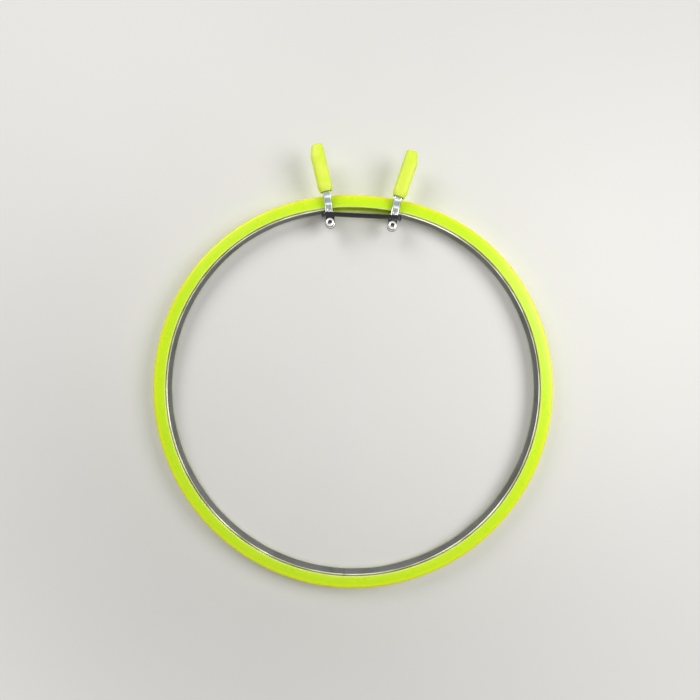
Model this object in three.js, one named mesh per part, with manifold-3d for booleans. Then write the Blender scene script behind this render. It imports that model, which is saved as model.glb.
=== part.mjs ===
// A spring-clamped embroidery hoop with a working field about 20 cm across, lying flat, levers towards +Y.
// A moulded plastic ring goes round the outside of the cloth. Inside it stands a springy steel band, rolled so
// that its middle bulges into a groove in the ring. The band's two ends are rolled into eyes and pinned to two
// levers, which turn on hollow rivets in a black link bar. When the levers' sleeves are squeezed together, the
// levers draw the band's ends towards each other, and the band shrinks out of the groove.
import * as THREE from "three";
import { mergeVertices } from "three/addons/utils/BufferGeometryUtils.js";
import Module from "manifold-3d";

const wasm = await Module();
wasm.setup();

// Driving dimensions, in millimetres and degrees. Angles round the hoop are measured from the clamp, +Y.
const CLEARANCE = 0.3; // between pieces that touch

const RING_OUTER_R = 108;
const RING_WALL = 6.3;
const RING_HEIGHT = 9.5;
const RING_OUTER_ROUND = 1.6;
const RING_INNER_ROUND = 0.5;
const PRESS_DEPTH = 3.5; // how far the clamp side is drawn in from the true circle
const PRESS_SPREAD = 21.5; // how far round the hoop that flat reaches, as a bell curve's spread

const BAND_HEIGHT = 7.1;
const BAND_THICKNESS = 0.9;
const BAND_BULGE = 0.9; // how far the band's middle stands out from its edges
const BAND_END_ANGLE = 10.53; // where the band's eyes are, each side of the clamp
const BAND_FLAT_ANGLE = 6; // over this far from its end, the band loses its bulge
const BAND_SPLIT_ANGLE = 16; // half of the band's far stretch, which doesn't swing

const PIN_R = 1.0;
const PIN_RUNNING_GAP = 0.4; // between the pin and the band's eye
const PIN_HEAD_R = 1.9;
const PIN_HEAD_THICKNESS = 0.6;
const PIN_SHOULDER_R = 1.6;
const PIN_TENON_R = 0.6;

const ARM_THROW = 6.9; // from the rivet that a lever turns on to the pin in the band's eye
const ARM_LEAN = 8.6; // the lean outwards of the line between those two
const ARM_WIDTH = 4.2;
const ARM_THICKNESS = 2.0;
const ARM_OVER_RING = 0.5; // the gap between the levers and the ring's top
const ARM_END_WALL = 1.0; // round the rivet's hole
const ARM_NECK = 12.4; // from the rivet to where the lever bends outwards
const ARM_BEND_LENGTH = 2.2;
const ARM_SPLAY = 16.1; // the sleeves' angle to the hoop's middle line
const ARM_RISE_START = 9.4; // from the rivet to where the lever starts to rise
const ARM_RISE = 1.9;
const ARM_TILT = 5; // the sleeves' slope upwards
const ARM_TONGUE = 19; // from the bend to the lever's outer end, inside the sleeve

const RIVET_SHANK_R = 1.4;
const RIVET_HOLE_R = 0.9;
const RIVET_FLARE_LAP = 0.5; // how far its two flares reach past the edge of the holes
const RIVET_FLARE_THICKNESS = 0.6;

const LINK_THICKNESS = 1.5;
const LINK_BAR_WIDTH = 2.2;
const LINK_BAR_OUT = 4.5; // the bar's middle line, beyond the rivets
const LINK_LOBE_WALL = 0.6; // round the rivet's hole
const LINK_STOP_THICKNESS = 1.5;

const SLEEVE_WIDTH = 7.8;
const SLEEVE_THICKNESS = 6.4;
const SLEEVE_LENGTH = 24.7;
const SLEEVE_SQUARENESS = 2.6; // 2 is an oval, and more is squarer
const SLEEVE_MOUTH_SHARE = 0.82; // the mouth's width against the widest place
const SLEEVE_MOUTH_LENGTH = 3.6;
const SLEEVE_TAPER_LENGTH = 6.0;
const SLEEVE_TIP_DRAW = 1.4; // how far the outer side is drawn in at the tip
const SLEEVE_TIP_ROUND = 1.3;
const SLEEVE_START = 1.4; // from the bend's end to the sleeve's mouth
const SLEEVE_UNEVEN = 0.5; // the left sleeve sits this much further out, the right this much further in

// Fineness of the round shapes
const STEPS_AROUND = 96;
const STEPS_UP_BAND = 6;
const STEPS_ROUND_SMALL = 20;
const STEPS_FILLET = 3;
const STEPS_ALONG_ARM = 32;

// Sizes that follow from those above
const degrees = THREE.MathUtils.degToRad;
const ringInnerR = RING_OUTER_R - RING_WALL;
const bandOuterR = ringInnerR - CLEARANCE;
const bandBottom = (RING_HEIGHT - BAND_HEIGHT) / 2;
const bandTop = bandBottom + BAND_HEIGHT;
const armBottom = RING_HEIGHT + ARM_OVER_RING;
const armTop = armBottom + ARM_THICKNESS;
const linkBottom = armTop + CLEARANCE;
const linkTop = linkBottom + LINK_THICKNESS;
const eyeBoreR = PIN_R + PIN_RUNNING_GAP;
const eyeOuterR = eyeBoreR + BAND_THICKNESS;
const rivetHoleR = RIVET_SHANK_R + CLEARANCE; // in the levers and the link bar

// How far the hoop is pressed in at an angle from the clamp, in radians.
const pressAt = (angle) => PRESS_DEPTH * Math.exp(-0.5 * (angle / degrees(PRESS_SPREAD)) ** 2);

// A distance from the hoop's middle, or from another point, along a heading measured from the clamp.
const along = (angle, distance) => new THREE.Vector2(Math.sin(angle), Math.cos(angle)).multiplyScalar(distance);

// The band's eye, and the rivet that the lever turns on, for the right-hand side.
const armLean = degrees(ARM_LEAN);
const eyeR = bandOuterR - pressAt(degrees(BAND_END_ANGLE)) - eyeOuterR;
const eyeAt = along(degrees(BAND_END_ANGLE), eyeR);
const rivetAt = eyeAt.clone().sub(along(armLean, ARM_THROW));

// A closed three.js geometry as a solid that can be joined and cut.
function solid(geometry) {
  const bare = new THREE.BufferGeometry();
  bare.setAttribute("position", geometry.getAttribute("position"));
  bare.setIndex(geometry.getIndex());
  const merged = mergeVertices(bare, 1e-4);
  const mesh = new wasm.Mesh({
    numProp: 3,
    vertProperties: merged.getAttribute("position").array,
    triVerts: new Uint32Array(merged.getIndex().array),
  });
  return new wasm.Manifold(mesh);
}

// The geometry of a joined or cut solid.
function geometryOf(body) {
  const mesh = body.getMesh();
  const geometry = new THREE.BufferGeometry();
  geometry.setAttribute("position", new THREE.BufferAttribute(mesh.vertProperties, mesh.numProp));
  geometry.setIndex(new THREE.BufferAttribute(mesh.triVerts, 1));
  geometry.computeVertexNormals();
  return geometry;
}

// A profile of [radius, height] points turned about Z. Seen with +r to the right, the points run anticlockwise.
function turned(profile, steps) {
  const points = profile.map(([r, z]) => new THREE.Vector2(r, z));
  return new THREE.LatheGeometry(points, steps).rotateX(Math.PI / 2);
}

// An upright cylinder between two heights.
function post(radius, low, high) {
  const geometry = new THREE.CylinderGeometry(radius, radius, high - low, STEPS_ROUND_SMALL);
  return geometry.rotateX(Math.PI / 2).translate(0, 0, (low + high) / 2);
}

// A flat shape given its thickness, from one height to another.
function plate(shape, low, high) {
  const settings = { depth: high - low, bevelEnabled: false, curveSegments: STEPS_ROUND_SMALL / 2 };
  return new THREE.ExtrudeGeometry(shape, settings).translate(0, 0, low);
}

// Moves each vertex of a geometry by a rule.
function reshape(geometry, rule) {
  const position = geometry.getAttribute("position");
  const vertex = new THREE.Vector3();
  for (let i = 0; i < position.count; i += 1) {
    rule(vertex.fromBufferAttribute(position, i));
    position.setXYZ(i, vertex.x, vertex.y, vertex.z);
  }
  return geometry;
}

// Changes a vertex's distance from the hoop's middle by a rule of its angle from the clamp and its height.
function moveOutwards(geometry, rule) {
  return reshape(geometry, (vertex) => {
    const angle = Math.atan2(vertex.x, vertex.y);
    const radius = Math.hypot(vertex.x, vertex.y) + rule(angle, vertex.z);
    vertex.x = radius * Math.sin(angle);
    vertex.y = radius * Math.cos(angle);
  });
}

// Points of a quarter circle from one angle to the next, for a rounded edge.
function fillet(r, z, radius, from) {
  const points = [];
  for (let i = 0; i <= STEPS_FILLET; i += 1) {
    const angle = degrees(from + (90 * i) / STEPS_FILLET);
    points.push([r + radius * Math.cos(angle), z + radius * Math.sin(angle)]);
  }
  return points;
}

// The bulge of the band, and of the groove it sits in, at a height above the middle of the ring.
const bulgeAt = (height, halfHeight) => BAND_BULGE * Math.max(0, 1 - (height / halfHeight) ** 2);

// The plastic ring: round outside edges, and a shallow groove all round the inside that follows the band.
function outerRing() {
  const middle = RING_HEIGHT / 2;
  const grooveHalf = BAND_HEIGHT / 2 + CLEARANCE;
  const groove = [];
  for (let i = 0; i <= STEPS_UP_BAND; i += 1) {
    const height = grooveHalf * (1 - (2 * i) / STEPS_UP_BAND);
    groove.push([ringInnerR + bulgeAt(height, grooveHalf), middle + height]);
  }
  const outer = RING_OUTER_R - RING_OUTER_ROUND;
  const inner = ringInnerR + RING_INNER_ROUND;
  const profile = [
    ...fillet(outer, RING_OUTER_ROUND, RING_OUTER_ROUND, -90),
    ...fillet(outer, RING_HEIGHT - RING_OUTER_ROUND, RING_OUTER_ROUND, 0),
    ...fillet(inner, RING_HEIGHT - RING_INNER_ROUND, RING_INNER_ROUND, 90),
    ...groove,
    ...fillet(inner, RING_INNER_ROUND, RING_INNER_ROUND, 180),
  ];
  profile.push(profile[0]);
  return moveOutwards(turned(profile, STEPS_AROUND), (angle) => -pressAt(angle));
}

// The whole band as one closed loop, its bulge fading out towards the eyes.
function bandLoop() {
  const innerR = bandOuterR - BAND_THICKNESS;
  const heights = [];
  for (let i = 0; i <= STEPS_UP_BAND; i += 1) heights.push(bandBottom + (BAND_HEIGHT * i) / STEPS_UP_BAND);
  const profile = heights.map((z) => [bandOuterR, z]);
  profile.push(...heights.reverse().map((z) => [innerR, z]));
  profile.push(profile[0]);
  return moveOutwards(turned(profile, STEPS_AROUND), (angle, z) => {
    const fromEnd = Math.abs(angle) - degrees(BAND_END_ANGLE);
    const fade = THREE.MathUtils.smoothstep(fromEnd, 0, degrees(BAND_FLAT_ANGLE));
    return fade * bulgeAt(z - RING_HEIGHT / 2, BAND_HEIGHT / 2) - pressAt(angle);
  });
}

// A wedge of space between two angles from the clamp, measured clockwise, that is taller than the ring.
function wedge(from, to) {
  const reach = 2 * RING_OUTER_R;
  const shape = new THREE.Shape();
  const parts = Math.ceil((to - from) / 20);
  for (let i = 0; i <= parts; i += 1) {
    const angle = degrees(to + ((from - to) * i) / parts);
    shape.lineTo(reach * Math.sin(angle), reach * Math.cos(angle));
  }
  return plate(shape, -RING_HEIGHT, 2 * RING_HEIGHT);
}

// The far stretch of the band.
function bandMiddle() {
  const gap = THREE.MathUtils.radToDeg(CLEARANCE / 2 / bandOuterR);
  const half = BAND_SPLIT_ANGLE - gap;
  return geometryOf(solid(bandLoop()).intersect(solid(wedge(180 - half, 180 + half))));
}

// One side of the band, from the far stretch to the eye that its end is rolled into.
function bandSide() {
  const gap = THREE.MathUtils.radToDeg(CLEARANCE / 2 / bandOuterR);
  const strip = solid(bandLoop()).intersect(solid(wedge(BAND_END_ANGLE, 180 - BAND_SPLIT_ANGLE - gap)));
  const roll = post(eyeOuterR, bandBottom, bandTop).translate(eyeAt.x, eyeAt.y, 0);
  const bore = post(eyeBoreR, bandBottom - 1, bandTop + 1).translate(eyeAt.x, eyeAt.y, 0);
  return geometryOf(strip.add(solid(roll)).subtract(solid(bore)));
}

// A point on the lever's middle line: a distance from the rivet gives its place, height and heading.
function armStation(distance) {
  const turn = degrees(ARM_SPLAY) - armLean;
  const bendR = ARM_BEND_LENGTH / turn;
  const heading = (turn * THREE.MathUtils.clamp(distance - ARM_NECK, 0, ARM_BEND_LENGTH)) / ARM_BEND_LENGTH;
  const beyond = Math.max(0, distance - ARM_NECK - ARM_BEND_LENGTH);
  const x = bendR * (1 - Math.cos(heading)) + beyond * Math.sin(heading);
  const y = Math.min(distance, ARM_NECK) + bendR * Math.sin(heading) + beyond * Math.cos(heading);
  const rise = THREE.MathUtils.smoothstep(distance, ARM_RISE_START, ARM_NECK + ARM_BEND_LENGTH);
  const z = (armBottom + armTop) / 2 + ARM_RISE * rise + beyond * Math.tan(degrees(ARM_TILT));
  return { x, y, z, heading };
}

// A lever: a flat strip, round where it turns on the rivet, bent outwards and upwards towards its sleeve. It is
// drawn from the rivet, with +Y along the line to the band's eye.
function arm() {
  const length = ARM_NECK + ARM_BEND_LENGTH + ARM_TONGUE;
  const strip = new THREE.BoxGeometry(ARM_WIDTH, length, ARM_THICKNESS, 1, STEPS_ALONG_ARM, 1);
  reshape(strip, (vertex) => {
    const { x, y, z, heading } = armStation(vertex.y + length / 2);
    const across = vertex.x;
    vertex.set(x + across * Math.cos(heading), y - across * Math.sin(heading), z + vertex.z);
  });
  const pinHoleR = PIN_TENON_R + CLEARANCE;
  return geometryOf(
    solid(strip)
      .add(solid(post(rivetHoleR + ARM_END_WALL, armBottom, armTop)))
      .subtract(solid(post(rivetHoleR, armBottom - 1, armTop + 1)))
      .subtract(solid(post(pinHoleR, armBottom - 1, armTop + 1).translate(0, ARM_THROW, 0))),
  );
}

// The shouldered pin that joins a lever to the band: a head under the eye, a shank through it, a shoulder that
// carries the lever, and a tenon that ends flush with the lever's top.
function bandPin() {
  const headBottom = bandBottom - CLEARANCE - PIN_HEAD_THICKNESS;
  const profile = [
    [0, headBottom],
    [PIN_HEAD_R, headBottom],
    [PIN_HEAD_R, bandBottom - CLEARANCE],
    [PIN_R, bandBottom - CLEARANCE],
    [PIN_R, bandTop + CLEARANCE],
    [PIN_SHOULDER_R, bandTop + CLEARANCE],
    [PIN_SHOULDER_R, armBottom - CLEARANCE],
    [PIN_TENON_R, armBottom - CLEARANCE],
    [PIN_TENON_R, armTop],
    [0, armTop],
  ];
  return turned(profile, STEPS_ROUND_SMALL);
}

// The hollow rivet that a lever turns on, flared over the link bar and under the lever.
function pivotRivet() {
  const underArm = armBottom - CLEARANCE;
  const overLink = linkTop + CLEARANCE;
  const flareR = rivetHoleR + RIVET_FLARE_LAP;
  const profile = [
    [RIVET_HOLE_R, underArm - RIVET_FLARE_THICKNESS],
    [flareR, underArm - RIVET_FLARE_THICKNESS],
    [flareR, underArm],
    [RIVET_SHANK_R, underArm],
    [RIVET_SHANK_R, overLink],
    [flareR, overLink],
    [flareR, overLink + RIVET_FLARE_THICKNESS / 2],
    [(flareR + RIVET_HOLE_R) / 2, overLink + RIVET_FLARE_THICKNESS],
    [RIVET_HOLE_R, overLink + RIVET_FLARE_THICKNESS / 3],
  ];
  profile.push(profile[0]);
  return turned(profile, STEPS_ROUND_SMALL);
}

// The black link bar: a narrow bar across both levers, a lobe down to each rivet, and ends that are turned down
// beside the levers so that the spring can't push them further apart.
function linkBar() {
  const barY = rivetAt.y + LINK_BAR_OUT;
  const armEdge = rivetAt.x + LINK_BAR_OUT * Math.tan(armLean) + ARM_WIDTH / 2 / Math.cos(armLean);
  const stopInside = armEdge + (LINK_BAR_WIDTH / 2) * Math.tan(armLean) + CLEARANCE;
  const barEnd = stopInside + LINK_STOP_THICKNESS;
  const lobeR = rivetHoleR + LINK_LOBE_WALL;
  const bar = new THREE.BoxGeometry(2 * barEnd, LINK_BAR_WIDTH, LINK_THICKNESS);
  let body = solid(bar.translate(0, barY, (linkBottom + linkTop) / 2));
  for (const side of [-1, 1]) {
    const lobe = new THREE.Shape();
    lobe.absarc(side * rivetAt.x, rivetAt.y, lobeR, Math.PI, 2 * Math.PI);
    lobe.lineTo(side * rivetAt.x + lobeR, barY);
    lobe.lineTo(side * rivetAt.x - lobeR, barY);
    const hole = post(rivetHoleR, linkBottom - 1, linkTop + 1);
    const stop = new THREE.BoxGeometry(LINK_STOP_THICKNESS, LINK_BAR_WIDTH, linkTop - armBottom);
    stop.translate(side * (stopInside + LINK_STOP_THICKNESS / 2), barY, (linkTop + armBottom) / 2);
    body = body
      .add(solid(plate(lobe, linkBottom, linkTop)))
      .add(solid(stop))
      .subtract(solid(hole.translate(side * rivetAt.x, rivetAt.y, 0)));
  }
  return geometryOf(body);
}

// A lever's sleeve, drawn from its mouth with +Y towards its tip and +X to the outer side: squarish oval,
// swelling from the mouth, its outer side drawn in towards a rounded tip, with a pocket for the lever's tongue.
function sleeve(mouthFromBend) {
  const r = SLEEVE_WIDTH / 2;
  const tipR = r - SLEEVE_TIP_DRAW / 2;
  const profile = [[0, 0]];
  for (let i = 0; i <= STEPS_FILLET; i += 1) {
    const share = i / STEPS_FILLET;
    const swell = SLEEVE_MOUTH_SHARE + (1 - SLEEVE_MOUTH_SHARE) * Math.sin((share * Math.PI) / 2);
    profile.push([r * swell, SLEEVE_MOUTH_LENGTH * share]);
  }
  profile.push([r, SLEEVE_LENGTH - SLEEVE_TAPER_LENGTH]);
  for (const [x, y] of fillet(tipR - SLEEVE_TIP_ROUND, SLEEVE_LENGTH - SLEEVE_TIP_ROUND, SLEEVE_TIP_ROUND, 0)) {
    profile.push([x, y]);
  }
  profile.push([0, SLEEVE_LENGTH]);
  const body = reshape(turned(profile, STEPS_ROUND_SMALL).rotateX(-Math.PI / 2), (vertex) => {
    const angle = Math.atan2(vertex.z, vertex.x);
    const power = SLEEVE_SQUARENESS;
    const square = (Math.abs(Math.cos(angle)) ** power + Math.abs(Math.sin(angle)) ** power) ** (-1 / power);
    const taper = (vertex.y - SLEEVE_LENGTH + SLEEVE_TAPER_LENGTH) / (SLEEVE_TAPER_LENGTH - SLEEVE_TIP_ROUND);
    vertex.x = vertex.x * square - (SLEEVE_TIP_DRAW / 2) * THREE.MathUtils.clamp(taper, 0, 1);
    vertex.z *= (square * SLEEVE_THICKNESS) / SLEEVE_WIDTH;
  });
  const depth = ARM_TONGUE / Math.cos(degrees(ARM_TILT)) - mouthFromBend + 2 * CLEARANCE;
  const pocket = new THREE.BoxGeometry(ARM_WIDTH + 2 * CLEARANCE, 2 * depth, ARM_THICKNESS + 2 * CLEARANCE);
  return geometryOf(solid(body).subtract(solid(pocket)));
}

// A named mesh with a finish of its own.
function piece(name, geometry, color, roughness, metalness) {
  const mesh = new THREE.Mesh(geometry, new THREE.MeshStandardMaterial({ color, roughness, metalness }));
  mesh.name = name;
  return mesh;
}

const hoop = new THREE.Group();
hoop.add(piece("outer_ring", outerRing(), "#d8fb1e", 0.35, 0));
hoop.add(piece("band_middle", bandMiddle(), "#c9ccca", 0.28, 1));
hoop.add(piece("link_bar", linkBar(), "#3b3a3d", 0.45, 0.8));

// Everything that comes in a pair is drawn for the right-hand side and mirrored for the left.
const sides = [
  ["right", 1, SLEEVE_START - SLEEVE_UNEVEN],
  ["left", -1, SLEEVE_START + SLEEVE_UNEVEN],
];
for (const [name, side, mouthFromBend] of sides) {
  const half = new THREE.Group();
  half.scale.x = side;
  half.add(piece("band_" + name, bandSide(), "#c9ccca", 0.28, 1));

  const pin = piece("band_pin_" + name, bandPin(), "#bfc2c2", 0.3, 1);
  pin.position.set(eyeAt.x, eyeAt.y, 0);
  half.add(pin);

  const rivet = piece("pivot_rivet_" + name, pivotRivet(), "#d6d8d6", 0.25, 1);
  rivet.position.set(rivetAt.x, rivetAt.y, 0);
  half.add(rivet);

  const lever = new THREE.Group();
  lever.position.set(rivetAt.x, rivetAt.y, 0);
  lever.rotation.z = -armLean;
  lever.add(piece("arm_" + name, arm(), "#c6cac8", 0.3, 1));

  const { x, y, z, heading } = armStation(ARM_NECK + ARM_BEND_LENGTH);
  const tongue = new THREE.Group();
  tongue.position.set(x, y, z);
  tongue.rotation.set(degrees(ARM_TILT), 0, -heading, "ZYX");
  const grip = piece("grip_" + name, sleeve(mouthFromBend), "#deff4a", 0.45, 0);
  grip.position.set(0, mouthFromBend, 0);
  tongue.add(grip);
  lever.add(tongue);
  half.add(lever);
  hoop.add(half);
}

// The hoop lies on z = 0, with the middle of its whole outline over the origin.
const group = new THREE.Group();
group.add(hoop);
group.updateMatrixWorld(true);
const outline = new THREE.Box3().setFromObject(hoop, true);
hoop.position.y = -(outline.min.y + outline.max.y) / 2;

export default group;
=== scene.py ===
"""A spring-clamped embroidery hoop, lying flat, seen from above.

A moulded plastic ring goes round a sprung steel band, and the band's two ends are pinned to a pair of sleeved
levers in a black link bar. Shapes are worked out in millimetres, and the meshes hold metres.
"""

import bpy
import numpy as np
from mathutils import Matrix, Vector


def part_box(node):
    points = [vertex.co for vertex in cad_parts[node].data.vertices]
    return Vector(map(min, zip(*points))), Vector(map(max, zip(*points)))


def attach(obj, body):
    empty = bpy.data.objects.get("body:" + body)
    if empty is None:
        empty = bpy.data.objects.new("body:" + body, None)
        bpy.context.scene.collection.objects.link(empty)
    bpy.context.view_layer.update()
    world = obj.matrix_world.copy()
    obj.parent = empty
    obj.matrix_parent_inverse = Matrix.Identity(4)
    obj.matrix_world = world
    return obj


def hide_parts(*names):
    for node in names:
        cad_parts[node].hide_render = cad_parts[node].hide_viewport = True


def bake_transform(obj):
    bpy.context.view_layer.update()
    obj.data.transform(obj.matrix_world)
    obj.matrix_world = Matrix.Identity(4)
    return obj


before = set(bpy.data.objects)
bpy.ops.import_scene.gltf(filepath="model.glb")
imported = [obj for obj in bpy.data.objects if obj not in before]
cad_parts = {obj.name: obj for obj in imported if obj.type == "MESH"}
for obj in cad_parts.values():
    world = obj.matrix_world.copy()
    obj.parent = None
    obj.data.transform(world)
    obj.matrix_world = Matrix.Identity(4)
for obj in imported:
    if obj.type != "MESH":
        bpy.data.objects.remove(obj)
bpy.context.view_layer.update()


# The outer ring. One hoop of fluorescent ABS, injection moulded, with rounded outer edges and, round its
# inside, a groove that the sprung band snaps into. The mould's halves met in the fine line round the middle
# of its wall. The band's gap lets the clamp side lie a little flatter than the rest.

MM = 0.001  # a millimetre in metres
RING_WALL = 6.9
RING_EDGE_R = 1.6
RING_LIP_R = 0.2
# The ring's edge glow is painted light: a painted yellow glow on the rounded outer edge, fading into the
# wall.
RING_PAINTED_GLOW_START = 3.2  # from the outer face, where its edge starts to glow
RING_PAINTED_GLOW_END = 1.0
RING_PAINTED_GLOW_DEPTH = 2.5  # from the rounded edges towards the middle of the wall, where it fades
RING_WALL_PAINTED_GLOW = 0.65  # the share of it that is left there
RING_CROWN = 0.06  # how far the top and bottom faces rise towards their middles
RING_WEAR_SPREAD = 0.35  # how far round the lips the rubbing reaches, as a bell curve
RING_WEAR_START = 3.4  # from the middle of the wall's height, a little short of the lips
PARTING_HEIGHT = 0.05
PARTING_WIDTH = 0.12
PRESS_DEPTH = 3.5  # how far the clamp side is drawn in from the true circle
PRESS_SPREAD = 21.5  # degrees, the spread of that flat as a bell curve
GROOVE_HEIGHT = 7.7
GROOVE_DEPTH = 1.5
GROOVE_SQUARENESS = 4  # 2 is a parabola, and more has a flatter bottom and steeper sides
STEPS_UP_GROOVE = 25
STEPS_ROUND_RING = 900


def box_mm(node):
    """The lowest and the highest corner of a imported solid, in millimetres."""
    low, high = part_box(node)
    return np.array(low) / MM, np.array(high) / MM


def linear(code):
    """An sRGB hex colour as a shader's linear values, by the sRGB curve, with full opacity."""
    value = np.array([int(code[i : i + 2], 16) for i in (1, 3, 5)]) / 255
    bright = ((value + 0.055) / 1.055) ** 2.4
    return (*np.where(value <= 0.04045, value / 12.92, bright), 1.0)


def points(x, y):
    """Points in a plane from their two coordinates, either of which may be one number for them all."""
    return np.stack(np.broadcast_arrays(x, y), axis=1)


def arc(centre, radius, start, end, steps):
    """Points on a circle round a centre, between two angles in degrees anticlockwise from the right."""
    angle = np.radians(np.linspace(start, end, steps))
    return points(centre[0] + radius * np.cos(angle), centre[1] + radius * np.sin(angle))


def bell(value, spread):
    """A bell curve: e to the power of minus half of the value over its spread, squared."""
    return np.exp(-0.5 * (value / spread) ** 2)


def distances(line, looped):
    """How far each point of a line lies along it, in metres, and for a loop the whole length as well."""
    if looped:
        line = np.vstack([line, line[:1]])
    steps = np.linalg.norm(np.diff(line, axis=0), axis=1)
    return np.insert(np.cumsum(steps), 0, 0) * MM


def enclosed(corners, faces):
    """Six times the volume between the origin and faces cut into fans, by the corners' triple products."""
    corner = corners[faces]
    return np.sum(corner[:, :1] * np.cross(corner[:, 1:-1], corner[:, 2:]))


def in_scene(name, data):
    """A new object in the scene, at the origin, that holds a mesh, a light or a camera."""
    made = bpy.data.objects.new(name, data)
    bpy.context.scene.collection.objects.link(made)
    return made


def surface(name, grid, looped=False, marks=None):
    """A closed skin over a grid of points in millimetres: rows go along the piece, columns round its section.

    The last column joins the first. Looped rows join up as well, and otherwise a flat face fills each end
    row. Where the volume comes out negative, every face is turned over, so that a mirrored piece faces out
    too. The UV map holds each corner's distance along and round, in metres, and marks are values painted on
    the points.
    """
    rows, columns = grid.shape[:2]
    places = grid.reshape(-1, 3) * MM
    row, column = np.indices((rows if looped else rows - 1, columns)).reshape(2, -1)
    ahead = (row + 1) % rows
    beside = (column + 1) % columns
    corners = [(row, column), (ahead, column), (ahead, beside), (row, beside)]
    faces = [np.stack([r * columns + c for r, c in corners], axis=1)]
    along = distances(grid.mean(axis=1), looped)
    across = distances(grid[rows // 2], True)
    run = np.stack([along[row], along[row + 1], along[row + 1], along[row]], axis=1)
    turn = np.stack([across[column], across[column], across[column + 1], across[column + 1]], axis=1)
    lengths = [np.stack([run, turn], axis=2)]
    if not looped:
        ring = np.arange(columns)
        for end, order in ((0, ring), (rows - 1, ring[::-1])):
            faces.append((end * columns + order)[None])
            lengths.append(np.stack([np.full(columns, along[end]), across[order]], axis=1)[None])
    if sum(enclosed(places, group) for group in faces) < 0:
        faces = [group[:, ::-1] for group in faces]
        lengths = [group[:, ::-1] for group in lengths]
    mesh = bpy.data.meshes.new(name)
    mesh.from_pydata(places.tolist(), [], [face for group in faces for face in group.tolist()])
    smooth = np.arange(len(mesh.polygons)) < len(faces[0])
    mesh.polygons.foreach_set("use_smooth", smooth)
    uv = mesh.uv_layers.new(name="lengths")
    uv.data.foreach_set("uv", np.concatenate([group.reshape(-1) for group in lengths]))
    for mark, values in (marks or {}).items():
        layer = mesh.attributes.new(mark, "FLOAT", "POINT")
        layer.data.foreach_set("value", np.broadcast_to(values, (rows, columns)).ravel())
    return in_scene(name, mesh)


def add(material, kind, settings, links=None):
    """Adds a node: its settings, which are its own or its inputs', and what feeds its inputs.

    A hex code among the settings is a colour. An input is fed by a socket, or by a node's first output in
    use. A mix of two colours takes its share as input 0 and the colours as 6 and 7.
    """
    made = material.node_tree.nodes.new("ShaderNode" + kind)
    for name, value in settings.items():
        if str(value).startswith("#"):
            value = linear(value)
        if isinstance(name, int) or name in made.inputs:
            made.inputs[name].default_value = value
        else:
            setattr(made, name, value)
    for name, source in (links or {}).items():
        if isinstance(source, bpy.types.Node):
            source = next(output for output in source.outputs if output.enabled)
        material.node_tree.links.new(source, made.inputs[name])
    return made


def start_material(name):
    """An empty material, with the sockets that give object coordinates and the UV map of lengths."""
    material = bpy.data.materials.new(name)
    material.use_nodes = True
    material.node_tree.nodes.clear()
    places = add(material, "TexCoord", {})
    return material, places.outputs["Object"], places.outputs["UV"]


def grain(material, source, size, detail=2.0, stretch=(1, 1, 1)):
    """A noise value whose lumps are size millimetres long, and longer along an axis by its stretch."""
    scale = tuple(1 / (size * MM * factor) for factor in stretch)
    placed = add(material, "Mapping", {"Scale": scale}, {"Vector": source})
    settings = {"Scale": 1.0, "Detail": detail, "Roughness": 0.55}
    return add(material, "TexNoise", settings, {"Vector": placed})


def patches(material, source, size, low, high, start=0, end=1, detail=2.0, stretch=(1, 1, 1)):
    """Grain with its values from low to high spread over start to end, and the others held at those."""
    noise = grain(material, source, size, detail, stretch)
    settings = {"From Min": low, "From Max": high, "To Min": start, "To Max": end}
    return add(material, "MapRange", settings, {"Value": noise})


def finish_material(material, settings, colour, roughness, relief, metallic=None):
    """Ends a material in a Principled shader with these plain settings and these patterns."""
    links = {"Base Color": colour, "Roughness": roughness, "Normal": relief}
    if metallic is not None:
        links["Metallic"] = metallic
    shader = add(material, "BsdfPrincipled", settings, links)
    add(material, "OutputMaterial", {}, {"Surface": shader})
    return material


ring_low, ring_high = box_mm("outer_ring")
ring_r = ring_high[0]
ring_y = ring_low[1] + ring_r
ring_height = ring_high[2]
ring_inner_r = ring_r - RING_WALL


def press_at(angle):
    """How far the hoop is drawn in: a bell curve of the angle from the clamp, in radians."""
    return PRESS_DEPTH * bell((angle + np.pi) % (2 * np.pi) - np.pi, np.radians(PRESS_SPREAD))


def bulge_at(height, half_height, depth, power=2):
    """A curve, depth high at its middle, that falls by an even power of the height to nothing at its ends."""
    return depth * np.maximum(0, 1 - (height / half_height) ** power)


def ring_section():
    """The ring's section as radii and heights, walked round from the foot of the outer wall.

    Each edge is a quarter circle. The wall is straight but for a bell-shaped bead at the parting line, the
    top and bottom rise by a cosine, and the inside is the groove's flat-bottomed curve between two lips.
    """
    middle = ring_height / 2
    wall = ring_r - PARTING_HEIGHT
    outer = wall - RING_EDGE_R
    inner = ring_inner_r + RING_LIP_R
    low = RING_CROWN
    high = ring_height - RING_CROWN
    bead_z = np.linspace(-3, 3, 13) * PARTING_WIDTH
    bead_r = wall + PARTING_HEIGHT * bell(bead_z, PARTING_WIDTH)
    share = np.linspace(-1, 1, 12)[1:-1]
    crown = RING_CROWN * (0.5 + 0.5 * np.cos(np.pi * share))
    face_r = (outer + inner) / 2 - share * (outer - inner) / 2
    groove_z = np.cos(np.linspace(0, np.pi, STEPS_UP_GROOVE)) * GROOVE_HEIGHT / 2
    groove_r = ring_inner_r + bulge_at(groove_z, GROOVE_HEIGHT / 2, GROOVE_DEPTH, GROOVE_SQUARENESS)
    return np.concatenate([
        arc((outer, low + RING_EDGE_R), RING_EDGE_R, -90, 0, 10),
        points(bead_r, middle + bead_z),
        arc((outer, high - RING_EDGE_R), RING_EDGE_R, 0, 90, 10),
        points(face_r, high + crown),
        arc((inner, high - RING_LIP_R), RING_LIP_R, 90, 180, 7),
        points(groove_r, middle + groove_z),
        arc((inner, low + RING_LIP_R), RING_LIP_R, 180, 270, 7),
        points(face_r[::-1], low - crown),
    ])


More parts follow.
